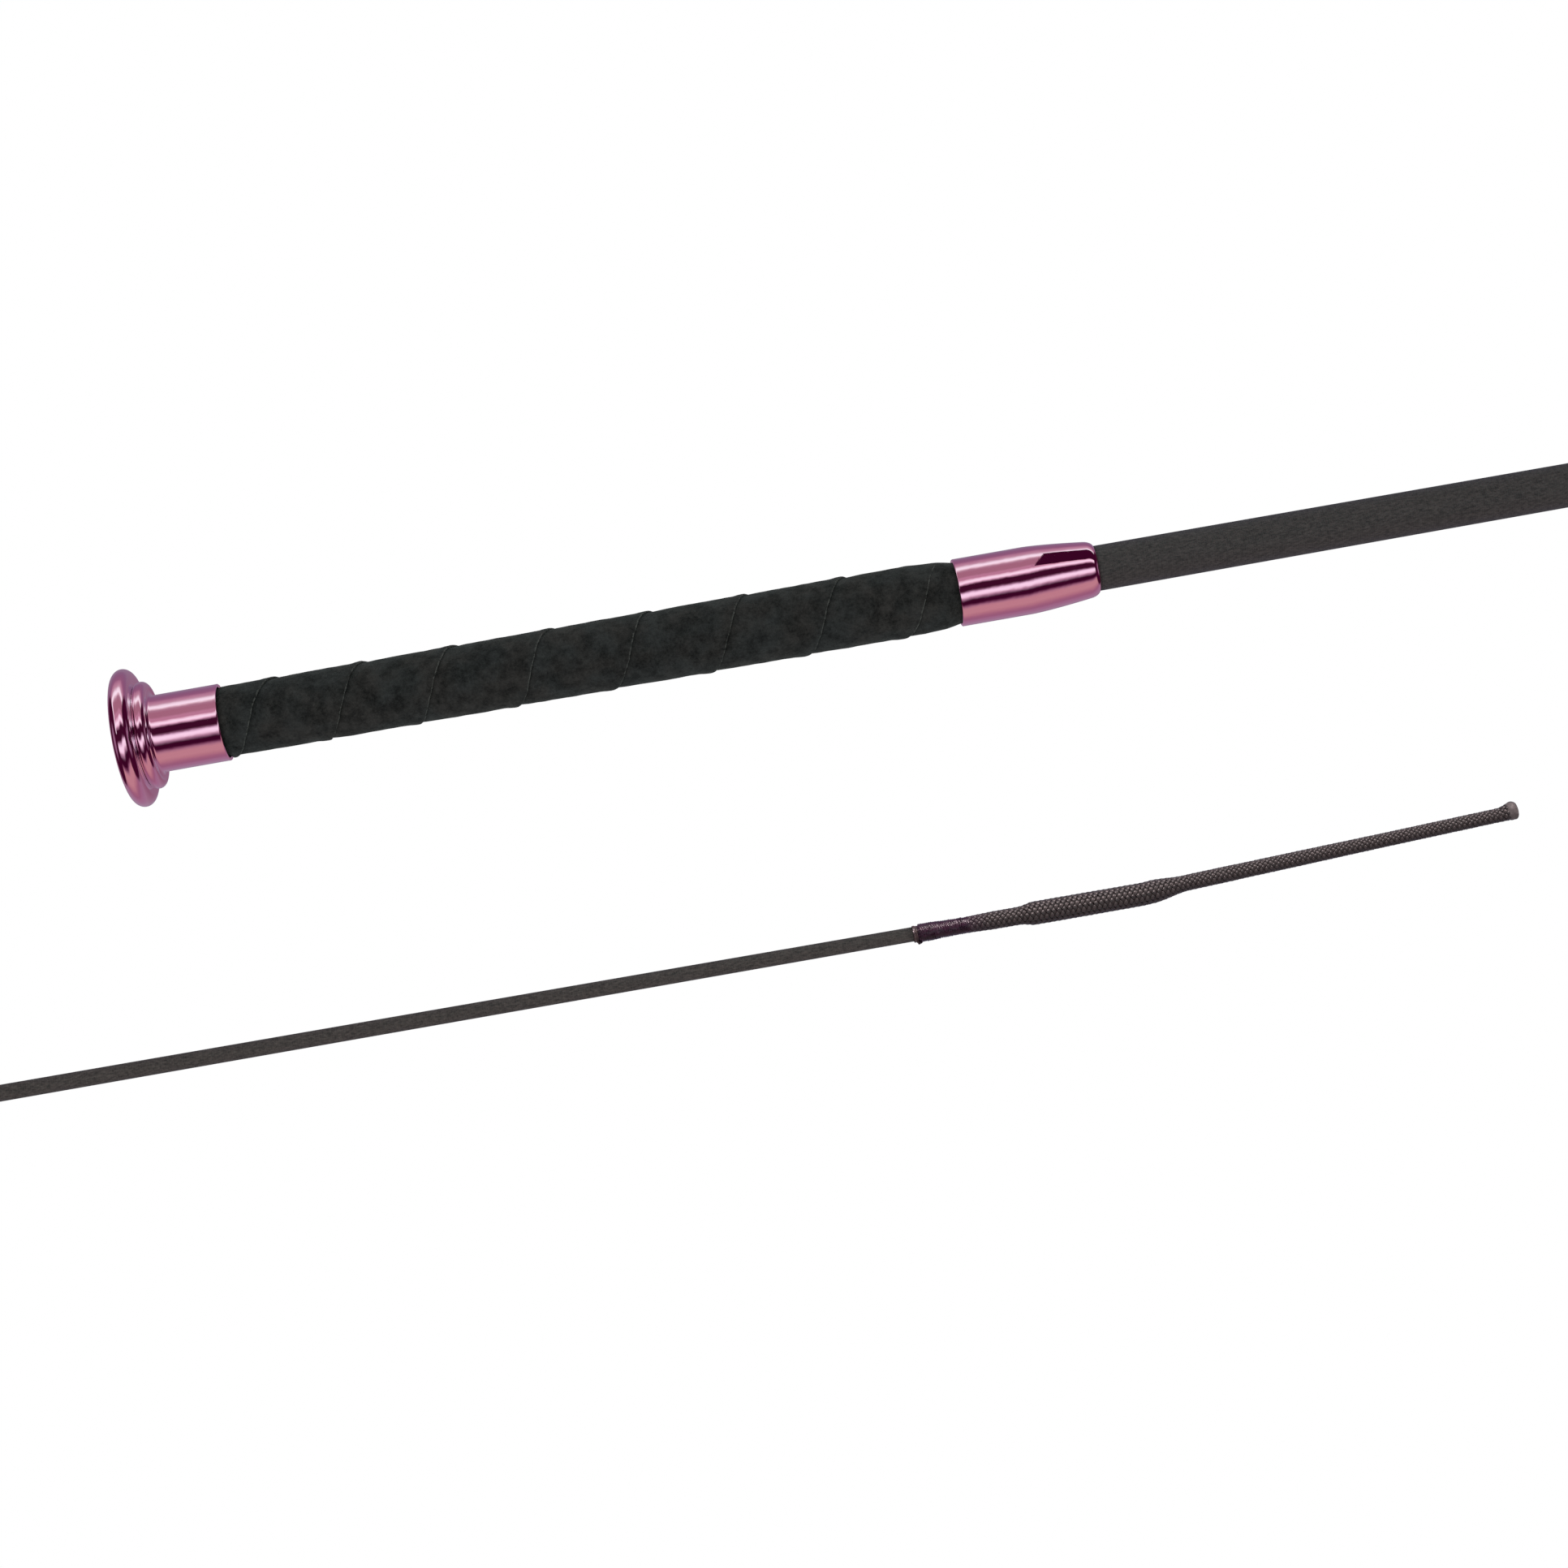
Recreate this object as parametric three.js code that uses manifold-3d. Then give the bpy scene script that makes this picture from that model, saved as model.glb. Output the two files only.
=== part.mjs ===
// A 1.1 m riding crop (dressage length) lying along +X.
// Origin: the centre of the butt cap's flat end face. +X runs to the lash, +Z is up, and lengths are in mm.
import * as THREE from "three";
import { mergeVertices } from "three/addons/utils/BufferGeometryUtils.js";
import Module from "manifold-3d";

const wasm = await Module();
wasm.setup();

// ---- driving dimensions (mm) ----

// Mushroom-shaped butt cap: a rolled rim, a smaller ring behind it, and a neck sleeve.
const CAP_RIM_OUTER_R = 14.3;
const CAP_RIM_ROLL_R = 2.5;
const CAP_RIM_FRONT_X = 0.45;
const CAP_RIM_BACK_X = 4.69;
const CAP_DOME_R = 10.4;
const CAP_DOME_X = 0.14;
const CAP_GROOVE_R = 8.4;
const CAP_GROOVE_WIDTH = 0.5;
const CAP_GROOVE_DEPTH = 0.3;
const CAP_SPIGOT_R = 4.5;
const CAP_SPIGOT_END_X = 12.3;
const NECK_START_X = 4.8;
const NECK_RING_OUTER_R = 11.1;
const NECK_RING_TUBE_R = 1.4;
const NECK_RING_X = 5.9;
const NECK_R = 7.95;
const NECK_WALL = 0.6;
const NECK_END_X = 21.4;
const NECK_FLOOR_X = 9;
const NECK_EDGE = 0.25;

// Grip: a tube built up round the rod, covered by a suede strip wound in overlapping turns.
const GRIP_START_X = 12.4;
const GRIP_END_X = 183;
const GRIP_CORE_R = 5.9;
const WRAP_BORE_R = 6.0;
const WRAP_LOW_R = 6.95;
const WRAP_LIP_R = 7.4;
const WRAP_PITCH = 20.05;
const WRAP_FIRST_SEAM_X = 30.9;
const WRAP_LIP_WIDTH = 0.2;
const WRAP_UNDER_NECK_R = 6.9;
const WRAP_UNDER_FERRULE_R = 6.3;
const WRAP_SIDES = 32;

// Ferrule that closes the front end of the grip.
const FERRULE_START_X = 173.85;
const FERRULE_R = 7;
const FERRULE_WALL = 0.5;
const FERRULE_STRAIGHT_END_X = 188.6;
const FERRULE_NOSE_X = 200.6;
const FERRULE_NOSE_R = 5.95;
const FERRULE_NOSE_POWER = 1.4;
const FERRULE_NOSE_ROUND = 1.3;
const FERRULE_END_X = 203.2;

// Shaft: a tapered rod in a thin plaited cover. Two straight tapers are joined by a smooth curve.
const BUTT_TAPER = { x: 302, r: 4.53, slope: -0.0016 };
const TIP_TAPER = { x: 789, r: 1.7, slope: -0.0011 };
const COVER_WALL = 0.35;
const SLIP = 0.06;
const ROD_START_X = 13.4;
const COVER_START_X = 203.4;
const COVER_END_X = 972.8;
const ROD_END_X = 995.5;
const SHAFT_SIDES = 20;

// Stations where the flexible shaft is divided, closer together where it is thinner.
const FLEX_X = [400, 480, 560, 610, 660, 700, 740, 776, 812, 848, 884, 922];
const FLEX_GAP = 0.4;

// Thread binding that ties the lash on.
const BINDING_START_X = 973;
const BINDING_END_X = 984.4;
const BINDING_R = 1.8;
const BINDING_BORE_R = 1.41;
const BINDING_TURNS = 10;
const BINDING_CREST = 0.05;
const BINDING_HOLLOW = 0.12;
const KNOT_R = 0.62;
const KNOT_AT = { x: 0.8, y: -0.35, z: -1.95 };

// Plaited lash: a socket over the rod end, a thick splice, then a limp tail divided into links.
const SOCKET_START_X = 974;
const SOCKET_TIED_R = 1.35;
const SOCKET_BORE_R = 1.15;
const SOCKET_R = 1.85;
const SPLICE_START_X = 996;
const SPLICE_R = 2.4;
const SPLICE_BORE_R = 1.25;
const SPLICE_END_LENGTH = 5.5;
const LASH_R = 1.5;
const LASH_START_X = 1029.5;
const LASH_START_Z = 0.35;
const LASH_LENGTH = 70.57;
const LASH_LINKS = 6;
const LASH_GAP = 0.3;
const LASH_TILT = THREE.MathUtils.degToRad(2.6);
const LASH_END_R = 1.8;
const LASH_END_LENGTH = 3.5;
const LASH_SIDES = 16;

// ---- materials ----

function finish(colour, roughness, metalness) {
  return () => new THREE.MeshStandardMaterial({ color: colour, roughness, metalness });
}

const chrome = finish(0xb0788c, 0.16, 1);
const suede = finish(0x1e2020, 0.95, 0);
const blackPlastic = finish(0x1b1b1c, 0.6, 0);
const gripRubber = finish(0x26282a, 0.85, 0);
const glassFibre = finish(0xb9b49c, 0.5, 0);
const plaitedNylon = finish(0x3b3633, 0.6, 0);
const waxedThread = finish(0x2d1423, 0.3, 0);
const lashCord = finish(0x4b4141, 0.65, 0);

// ---- geometry helpers ----

const part = new THREE.Group();
part.name = "riding_crop";

function addPiece(name, geometry, material) {
  const mesh = new THREE.Mesh(geometry, material());
  mesh.name = name;
  part.add(mesh);
  return mesh;
}

// A solid of revolution about the X axis. The profile is a list of [x, r] that runs along the outside
// towards +X, and either starts and ends on the axis or closes on itself.
function revolve(profile, sides) {
  const points = profile.map(([x, r]) => new THREE.Vector2(r, x));
  return new THREE.LatheGeometry(points, sides).rotateZ(-Math.PI / 2);
}

// Points of a circular arc in the profile plane, from angle a to angle b in degrees, where 0 points
// along +X and 90 points away from the axis.
function arc(centreX, centreR, radius, a, b, steps) {
  const points = [];
  for (let i = 0; i <= steps; i++) {
    const t = THREE.MathUtils.degToRad(a + ((b - a) * i) / steps);
    points.push([centreX + radius * Math.cos(t), centreR + radius * Math.sin(t)]);
  }
  return points;
}

// A tube whose outside and bore radii may change along it.
function sleeve(startX, endX, outerR, boreR, steps, sides) {
  const outside = [];
  const bore = [];
  for (let i = 0; i <= steps; i++) {
    const x = startX + ((endX - startX) * i) / steps;
    outside.push([x, outerR(x)]);
    bore.unshift([x, boreR(x)]);
  }
  return revolve([...outside, ...bore, outside[0]], sides);
}

// A round bar whose radius may change along it.
function bar(startX, endX, radius, steps, sides) {
  const profile = [[startX, 0]];
  for (let i = 0; i <= steps; i++) {
    const x = startX + ((endX - startX) * i) / steps;
    profile.push([x, radius(x)]);
  }
  profile.push([endX, 0]);
  return revolve(profile, sides);
}

function toSolid(geometry) {
  const bare = geometry.clone();
  bare.deleteAttribute("normal");
  bare.deleteAttribute("uv");
  const merged = mergeVertices(bare, 1e-3);
  return new wasm.Manifold(
    new wasm.Mesh({
      numProp: 3,
      vertProperties: merged.attributes.position.array,
      triVerts: new Uint32Array(merged.index.array),
    }),
  );
}

function fromSolid(solid) {
  const mesh = solid.getMesh();
  const geometry = new THREE.BufferGeometry();
  geometry.setAttribute("position", new THREE.BufferAttribute(mesh.vertProperties, 3));
  geometry.setIndex(new THREE.BufferAttribute(mesh.triVerts, 1));
  geometry.computeVertexNormals();
  return geometry;
}

// ---- shaft profile ----

function coverRadius(x) {
  if (x <= BUTT_TAPER.x) {
    return BUTT_TAPER.r + BUTT_TAPER.slope * (x - BUTT_TAPER.x);
  }
  if (x >= TIP_TAPER.x) {
    return TIP_TAPER.r + TIP_TAPER.slope * (x - TIP_TAPER.x);
  }
  // Cubic that meets both straight tapers in radius and in slope.
  const span = TIP_TAPER.x - BUTT_TAPER.x;
  const t = (x - BUTT_TAPER.x) / span;
  const startR = (2 * t ** 3 - 3 * t ** 2 + 1) * BUTT_TAPER.r;
  const startSlope = (t ** 3 - 2 * t ** 2 + t) * span * BUTT_TAPER.slope;
  const endR = (3 * t ** 2 - 2 * t ** 3) * TIP_TAPER.r;
  const endSlope = (t ** 3 - t ** 2) * span * TIP_TAPER.slope;
  return startR + startSlope + endR + endSlope;
}

function rodRadius(x) {
  return coverRadius(Math.max(x, COVER_START_X)) - COVER_WALL - SLIP;
}

// ---- butt cap ----

function buttCapHead() {
  const rimR = CAP_RIM_OUTER_R - CAP_RIM_ROLL_R;
  const rimMiddleX = (CAP_RIM_FRONT_X + CAP_RIM_BACK_X) / 2;
  const flatten = (CAP_RIM_BACK_X - CAP_RIM_FRONT_X) / (2 * CAP_RIM_ROLL_R);
  return revolve(
    [
      [0, 0],
      [0, CAP_GROOVE_R],
      [CAP_GROOVE_DEPTH, CAP_GROOVE_R],
      [CAP_GROOVE_DEPTH, CAP_GROOVE_R + CAP_GROOVE_WIDTH],
      [0, CAP_GROOVE_R + CAP_GROOVE_WIDTH],
      [CAP_DOME_X, CAP_DOME_R],
      ...arc(0, rimR, CAP_RIM_ROLL_R, 180, 0, 12).map(([x, r]) => [rimMiddleX + x * flatten, r]),
      [CAP_RIM_BACK_X, CAP_SPIGOT_R],
      [CAP_SPIGOT_END_X, CAP_SPIGOT_R],
      [CAP_SPIGOT_END_X, 0],
    ],
    40,
  );
}

function buttCapNeck() {
  const ringR = NECK_RING_OUTER_R - NECK_RING_TUBE_R;
  const boreR = NECK_R - NECK_WALL;
  const spigotBoreR = CAP_SPIGOT_R + 0.1;
  const ringEndX = NECK_RING_X + NECK_RING_TUBE_R;
  const ringStart = THREE.MathUtils.radToDeg(Math.acos((NECK_START_X - NECK_RING_X) / NECK_RING_TUBE_R));
  const ring = arc(NECK_RING_X, ringR, NECK_RING_TUBE_R, ringStart, 0, 8);
  const profile = [
    ...ring,
    [ringEndX + 0.1, NECK_R + 0.35],
    [ringEndX + 0.45, NECK_R],
    [NECK_END_X - NECK_EDGE, NECK_R],
    [NECK_END_X, NECK_R - NECK_EDGE],
    [NECK_END_X, boreR],
    [NECK_FLOOR_X, boreR],
    [NECK_FLOOR_X, spigotBoreR],
    [NECK_START_X, spigotBoreR],
  ];
  return revolve([...profile, profile[0]], 40);
}

// Moulded ring inside the neck that grips the spigot.
function buttCapPlug() {
  const outer = NECK_R - NECK_WALL - 0.1;
  const bore = CAP_SPIGOT_R + 0.1;
  return sleeve(NECK_FLOOR_X + 0.1, GRIP_START_X - 0.2, () => outer, () => bore, 1, 28);
}

// ---- grip ----

function gripCore() {
  const bore = rodRadius(0) + SLIP;
  return sleeve(GRIP_START_X + 0.4, GRIP_END_X, () => GRIP_CORE_R, () => bore, 1, 24);
}

// One strip wound left-handed. Each turn rises from its buried edge to a free lip that overlaps the
// next turn. Rows of the surface follow the helix, and are held back at the two ends.
function gripWrap() {
  const rows = [
    { along: 0, r: WRAP_LOW_R },
    { along: 0.3, r: WRAP_LOW_R + 0.6 * (WRAP_LIP_R - WRAP_LOW_R) },
    { along: 0.75, r: WRAP_LIP_R },
    { along: 1 - WRAP_LIP_WIDTH / WRAP_PITCH, r: WRAP_LIP_R },
  ];
  const firstTurn = -2;
  const turns = Math.ceil((GRIP_END_X - GRIP_START_X) / WRAP_PITCH) + 3;
  const endX = GRIP_END_X - 0.5;
  const ringPoint = (x, r, angle) => [x, -r * Math.sin(angle), r * Math.cos(angle)];
  const surfacePoint = (index, side) => {
    const row = rows[index % rows.length];
    const turn = firstTurn + Math.floor(index / rows.length);
    const lead = WRAP_PITCH * (turn + row.along - side / WRAP_SIDES);
    const x = WRAP_FIRST_SEAM_X + lead;
    const angle = (2 * Math.PI * (side % WRAP_SIDES)) / WRAP_SIDES;
    if (x <= GRIP_START_X + 0.01) {
      return ringPoint(GRIP_START_X, WRAP_BORE_R, angle);
    }
    if (x >= endX - 0.01) {
      return ringPoint(endX, WRAP_BORE_R, angle);
    }
    return ringPoint(x, row.r, angle);
  };
  const borePoint = (atEnd, side) => {
    const angle = (2 * Math.PI * (side % WRAP_SIDES)) / WRAP_SIDES;
    return ringPoint(atEnd ? endX : GRIP_START_X, WRAP_BORE_R, angle);
  };
  const vertices = [];
  const samePoint = (a, b) => Math.hypot(a[0] - b[0], a[1] - b[1], a[2] - b[2]) < 1e-3;
  const triangle = (a, b, c) => {
    if (!samePoint(a, b) && !samePoint(b, c) && !samePoint(c, a)) {
      vertices.push(...a, ...b, ...c);
    }
  };
  const quad = (a, b, c, d) => {
    triangle(a, b, c);
    triangle(a, c, d);
  };
  for (let side = 0; side < WRAP_SIDES; side++) {
    for (let index = 0; index < turns * rows.length - 1; index++) {
      quad(
        surfacePoint(index, side),
        surfacePoint(index, side + 1),
        surfacePoint(index + 1, side + 1),
        surfacePoint(index + 1, side),
      );
    }
    quad(borePoint(true, side), borePoint(true, side + 1), borePoint(false, side + 1), borePoint(false, side));
  }
  const geometry = new THREE.BufferGeometry();
  geometry.setAttribute("position", new THREE.BufferAttribute(new Float32Array(vertices), 3));
  const strip = toSolid(geometry);
  const clearance = 9;
  const envelope = revolve(
    [
      [0, 0],
      [0, WRAP_UNDER_NECK_R],
      [NECK_END_X + 0.3, WRAP_UNDER_NECK_R],
      [NECK_END_X + 0.9, clearance],
      [FERRULE_START_X - 0.9, clearance],
      [FERRULE_START_X - 0.3, WRAP_UNDER_FERRULE_R],
      [GRIP_END_X, WRAP_UNDER_FERRULE_R],
      [GRIP_END_X, 0],
    ],
    WRAP_SIDES,
  );
  return fromSolid(strip.intersect(toSolid(envelope)));
}

// ---- ferrule ----

function ferruleSleeve() {
  const bore = FERRULE_R - FERRULE_WALL;
  const noseBore = coverRadius(COVER_START_X) - COVER_WALL;
  const curveLength = FERRULE_NOSE_X - FERRULE_STRAIGHT_END_X;
  const shoulder = [];
  for (let i = 0; i <= 5; i++) {
    const t = i / 5;
    shoulder.push([
      FERRULE_STRAIGHT_END_X + curveLength * t,
      FERRULE_R - (FERRULE_R - FERRULE_NOSE_R) * t ** FERRULE_NOSE_POWER,
    ]);
  }
  const nose = FERRULE_END_X - FERRULE_NOSE_X;
  const profile = [
    [FERRULE_START_X, FERRULE_R - 0.2],
    [FERRULE_START_X + 0.2, FERRULE_R],
    ...shoulder,
    ...arc(0, FERRULE_NOSE_R - FERRULE_NOSE_ROUND, FERRULE_NOSE_ROUND, 60, 0, 3).map(([x, r]) => [
      FERRULE_NOSE_X + (x * nose) / FERRULE_NOSE_ROUND,
      r,
    ]),
    [FERRULE_END_X, noseBore],
    [FERRULE_END_X - 1.2, noseBore],
    [FERRULE_NOSE_X - 1.5, FERRULE_NOSE_R - FERRULE_WALL],
    [FERRULE_STRAIGHT_END_X, bore],
    [FERRULE_START_X, bore],
  ];
  return revolve([...profile, profile[0]], 36);
}

// Moulded bush that centres the rod in the ferrule.
function ferruleBush() {
  const bore = rodRadius(0) + SLIP;
  const outer = FERRULE_R - FERRULE_WALL - 0.1;
  const profile = [
    [GRIP_END_X + 0.2, outer],
    [FERRULE_STRAIGHT_END_X, outer],
    [FERRULE_NOSE_X - 2, FERRULE_NOSE_R - FERRULE_WALL - 0.1],
    [FERRULE_NOSE_X - 2, bore],
    [GRIP_END_X + 0.2, bore],
  ];
  return revolve([...profile, profile[0]], 28);
}

// ---- shaft ----

function shaftSections(startX, endX) {
  const cuts = [startX, ...FLEX_X, endX];
  return FLEX_X.concat(endX).map((_, i) => ({
    label: String(i + 1).padStart(2, "0"),
    startX: cuts[i] + (i === 0 ? 0 : FLEX_GAP / 2),
    endX: cuts[i + 1] - (i === FLEX_X.length ? 0 : FLEX_GAP / 2),
  }));
}

function addShaft() {
  for (const { label, startX, endX } of shaftSections(ROD_START_X, ROD_END_X)) {
    const steps = Math.max(1, Math.round((endX - startX) / 90));
    addPiece("rod_" + label, bar(startX, endX, rodRadius, steps, SHAFT_SIDES), glassFibre);
  }
  const bore = (x) => coverRadius(x) - COVER_WALL;
  for (const { label, startX, endX } of shaftSections(COVER_START_X, COVER_END_X)) {
    const steps = Math.max(1, Math.round((endX - startX) / 90));
    const cover = sleeve(startX, endX, coverRadius, bore, steps, SHAFT_SIDES);
    addPiece("cover_" + label, cover, plaitedNylon);
  }
}

// ---- lash ----

// Close turns of thread with a hollow between each, and a knot lying against the first turn.
function bindingThread() {
  const turn = (BINDING_END_X - BINDING_START_X) / BINDING_TURNS;
  const profile = [[BINDING_START_X, BINDING_R - BINDING_HOLLOW]];
  for (let i = 0; i < BINDING_TURNS; i++) {
    const x = BINDING_START_X + i * turn;
    profile.push([x + turn / 2, BINDING_R + BINDING_CREST]);
    profile.push([x + turn, BINDING_R - BINDING_HOLLOW]);
  }
  profile.push([BINDING_END_X, BINDING_BORE_R]);
  profile.push([BINDING_START_X, BINDING_BORE_R]);
  profile.push(profile[0]);
  const knot = new THREE.IcosahedronGeometry(KNOT_R, 1)
    .scale(1.2, 1, 0.9)
    .translate(BINDING_START_X + KNOT_AT.x, KNOT_AT.y, KNOT_AT.z);
  return fromSolid(toSolid(revolve(profile, 18)).add(toSolid(knot)));
}

function lashSocket() {
  const endX = LASH_START_X - LASH_GAP / 2;
  const taperX = endX - SPLICE_END_LENGTH;
  const tailEndX = taperX + 0.5;
  const profile = [
    [SOCKET_START_X, SOCKET_TIED_R],
    [BINDING_END_X + 0.1, SOCKET_TIED_R],
    [BINDING_END_X + 0.4, SOCKET_R],
    [SPLICE_START_X, SOCKET_R],
    [SPLICE_START_X + 2, SPLICE_R],
    [taperX, SPLICE_R],
    ...arc(endX - LASH_R, 0, LASH_R, 90, 0, 4).slice(0, -1),
    [endX, 0],
    [tailEndX, 0],
    [tailEndX, SPLICE_BORE_R],
    [SPLICE_START_X, SPLICE_BORE_R],
    [SPLICE_START_X, SOCKET_BORE_R],
    [SOCKET_START_X, SOCKET_BORE_R],
  ];
  return revolve([...profile, profile[0]], LASH_SIDES);
}

// End of the cord, turned back inside the splice.
function lashTail() {
  const endX = LASH_START_X - LASH_GAP / 2 - SPLICE_END_LENGTH;
  return bar(SPLICE_START_X + 0.6, endX, () => SPLICE_BORE_R - 0.08, 1, 12);
}

// One link of the limp tail with round ends, so that it can swing on its neighbour. The last one ends
// in a flare where the cord is melted.
function lashLink(index) {
  const pitch = LASH_LENGTH / LASH_LINKS;
  const startX = index * pitch + LASH_GAP / 2;
  const last = index === LASH_LINKS - 1;
  const endX = (index + 1) * pitch - (last ? 0 : LASH_GAP / 2);
  const head = arc(startX + LASH_R, 0, LASH_R, 180, 90, 4).slice(1);
  const tail = arc(endX - LASH_R, 0, LASH_R, 90, 0, 4).slice(0, -1);
  const flare = [
    [endX - LASH_END_LENGTH, LASH_R],
    [endX - 0.4 * LASH_END_LENGTH, LASH_END_R],
    [endX - 0.1 * LASH_END_LENGTH, LASH_END_R],
    [endX, 0.6 * LASH_END_R],
  ];
  const profile = [[startX, 0], ...head, ...(last ? flare : tail), [endX, 0]];
  return revolve(profile, LASH_SIDES).rotateY(-LASH_TILT).translate(LASH_START_X, 0, LASH_START_Z);
}

// ---- assembly ----

addPiece("butt_cap_head", buttCapHead(), chrome);
addPiece("butt_cap_neck", buttCapNeck(), chrome);
addPiece("butt_cap_plug", buttCapPlug(), blackPlastic);
addPiece("grip_core", gripCore(), gripRubber);
addPiece("grip_wrap", gripWrap(), suede);
addPiece("ferrule_sleeve", ferruleSleeve(), chrome);
addPiece("ferrule_bush", ferruleBush(), blackPlastic);
addShaft();
addPiece("binding_thread", bindingThread(), waxedThread);
addPiece("lash_socket", lashSocket(), lashCord);
addPiece("lash_tail", lashTail(), lashCord);
for (let i = 0; i < LASH_LINKS; i++) {
  addPiece("lash_link_" + (i + 1), lashLink(i), lashCord);
}

export default part;
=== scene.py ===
"""Looks of the riding crop: chrome cap and ferrule, suede grip, covered shaft, binding and braided lash.

The script works in millimetres along the whip and turns them into metres when a mesh is made.
"""

import math

import bmesh
import bpy
import numpy as np
from mathutils import Matrix, Vector


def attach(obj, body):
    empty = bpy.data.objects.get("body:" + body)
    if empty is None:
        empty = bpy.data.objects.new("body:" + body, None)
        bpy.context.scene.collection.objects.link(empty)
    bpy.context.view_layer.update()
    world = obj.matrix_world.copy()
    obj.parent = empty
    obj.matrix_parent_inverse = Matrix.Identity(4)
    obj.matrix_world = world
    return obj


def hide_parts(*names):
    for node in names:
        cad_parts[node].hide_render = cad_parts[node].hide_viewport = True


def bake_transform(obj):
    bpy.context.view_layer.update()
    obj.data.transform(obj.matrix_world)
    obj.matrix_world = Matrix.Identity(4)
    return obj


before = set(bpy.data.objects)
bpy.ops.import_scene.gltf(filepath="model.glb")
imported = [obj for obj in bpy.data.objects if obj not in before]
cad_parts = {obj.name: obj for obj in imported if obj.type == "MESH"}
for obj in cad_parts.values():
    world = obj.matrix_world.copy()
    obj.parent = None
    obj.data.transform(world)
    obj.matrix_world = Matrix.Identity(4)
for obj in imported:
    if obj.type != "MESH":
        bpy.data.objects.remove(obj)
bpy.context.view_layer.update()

MM = 0.001
TAU = 2 * math.pi

# ---- dimensions of the whip in mm, the same as the solid model's ----

RIM_OUTER_R = 14.3
RIM_ROLL_R = 2.5
RIM_FRONT_X = 0.45
RIM_BACK_X = 4.69
NECK_R = 7.95
NECK_END_X = 21.4
WRAP_PITCH = 20.05
WRAP_FIRST_SEAM_X = 30.9
WRAP_START_X = 13.0
WRAP_END_X = 182.3
WRAP_LOW_R = 7.02
WRAP_LIP_R = 7.46
FERRULE_START_X = 173.85
FERRULE_STRAIGHT_END_X = 188.6
FERRULE_NOSE_X = 200.6
FERRULE_R = 7.0
FERRULE_NOSE_R = 5.95
FERRULE_END_X = 203.2
COVER_START_X = 202.3
COVER_END_X = 973.3
FLEX_X = [400, 480, 560, 610, 660, 700, 740, 776, 812, 848, 884, 922]
# Half the slit between two lengths of cover at a hinge, as a share of their radius.
# It just closes on the inner side of the bend when the hinge is at its limit.
HINGE_GAP = 0.033
BINDING_START_X = 973.0
BINDING_END_X = 984.6
BINDING_LOW_R = 1.76
LASH_HINGE_X = 1029.5
LASH_PITCH = 70.57 / 6
CARRIERS = 8
BRAID_TURN = 0.714
STRAND_THICKNESS = 0.36


# ---- nodes ----


def node(tree, kind, inputs=None, **settings):
    """Adds a shader node. An input is a value, or the socket that feeds it."""
    made = tree.nodes.new(kind)
    for key, value in settings.items():
        setattr(made, key, value)
    for key, value in (inputs or {}).items():
        if isinstance(value, bpy.types.NodeSocket):
            tree.links.new(value, made.inputs[key])
        else:
            made.inputs[key].default_value = value
    return made


def maths(tree, operation, a, b=0.0, clamp=False):
    made = node(tree, "ShaderNodeMath", {0: a, 1: b}, operation=operation)
    made.use_clamp = clamp
    return made.outputs[0]


def mix_colour(tree, factor, a, b, blend="MIX"):
    made = node(
        tree, "ShaderNodeMix", {0: factor, 6: a, 7: b}, data_type="RGBA", blend_type=blend
    )
    return made.outputs[2]


def remap(tree, value, low, high, to_low=0.0, to_high=1.0):
    made = node(
        tree, "ShaderNodeMapRange", {0: value, 1: low, 2: high, 3: to_low, 4: to_high}
    )
    return made.outputs[0]


def noise(tree, vector, scale, detail=2.0, roughness=0.5):
    made = node(
        tree,
        "ShaderNodeTexNoise",
        {"Vector": vector, "Scale": scale, "Detail": detail, "Roughness": roughness},
    )
    return made.outputs[0]


def rest_point(tree):
    """Position of the surface point on the straight whip, in mm, so that patterns stay put in every pose."""
    return node(tree, "ShaderNodeAttribute", attribute_name="rest").outputs["Vector"]


def attribute(tree, name):
    return node(tree, "ShaderNodeAttribute", attribute_name=name).outputs["Fac"]


def bump(tree, height, distance_mm, strength=1.0, under=None):
    inputs = {"Height": height, "Distance": distance_mm * MM, "Strength": strength}
    if under is not None:
        inputs["Normal"] = under
    return node(tree, "ShaderNodeBump", inputs).outputs[0]


def new_material(name):
    material = bpy.data.materials.new(name)
    material.use_nodes = True
    tree = material.node_tree
    return material, tree, tree.nodes["Principled BSDF"]


def grey(level):
    return (level, level, level, 1)


# ---- materials ----


def pink_chrome():
    material, tree, shader = new_material("pink_chrome")
    point = rest_point(tree)
    smear = noise(tree, point, 0.35, 3)
    shader.inputs["Metallic"].default_value = 1.0
    colour = mix_colour(tree, smear, (0.80, 0.285, 0.40, 1), (0.80, 0.315, 0.42, 1))
    # Chrome seen in chrome is barely tinted again, so that the cap's groove stays pink and not deep red.
    depth = node(tree, "ShaderNodeLightPath").outputs["Glossy Depth"]
    colour = mix_colour(tree, maths(tree, "GREATER_THAN", depth, 0.5), colour, (0.92, 0.80, 0.86, 1))
    tree.links.new(colour, shader.inputs["Base Color"])
    roughness = remap(tree, noise(tree, point, 1.8, 4), 0.3, 0.7, 0.02, 0.05)
    tree.links.new(roughness, shader.inputs["Roughness"])
    dents = bump(tree, noise(tree, point, 0.55, 1), 0.02)
    lines = node(
        tree,
        "ShaderNodeTexWave",
        {"Vector": point, "Scale": 2.4, "Distortion": 1.5, "Detail": 2.0},
        bands_direction="X",
    ).outputs[1]
    tree.links.new(bump(tree, lines, 0.0003, 0.4, dents), shader.inputs["Normal"])
    return material


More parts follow.
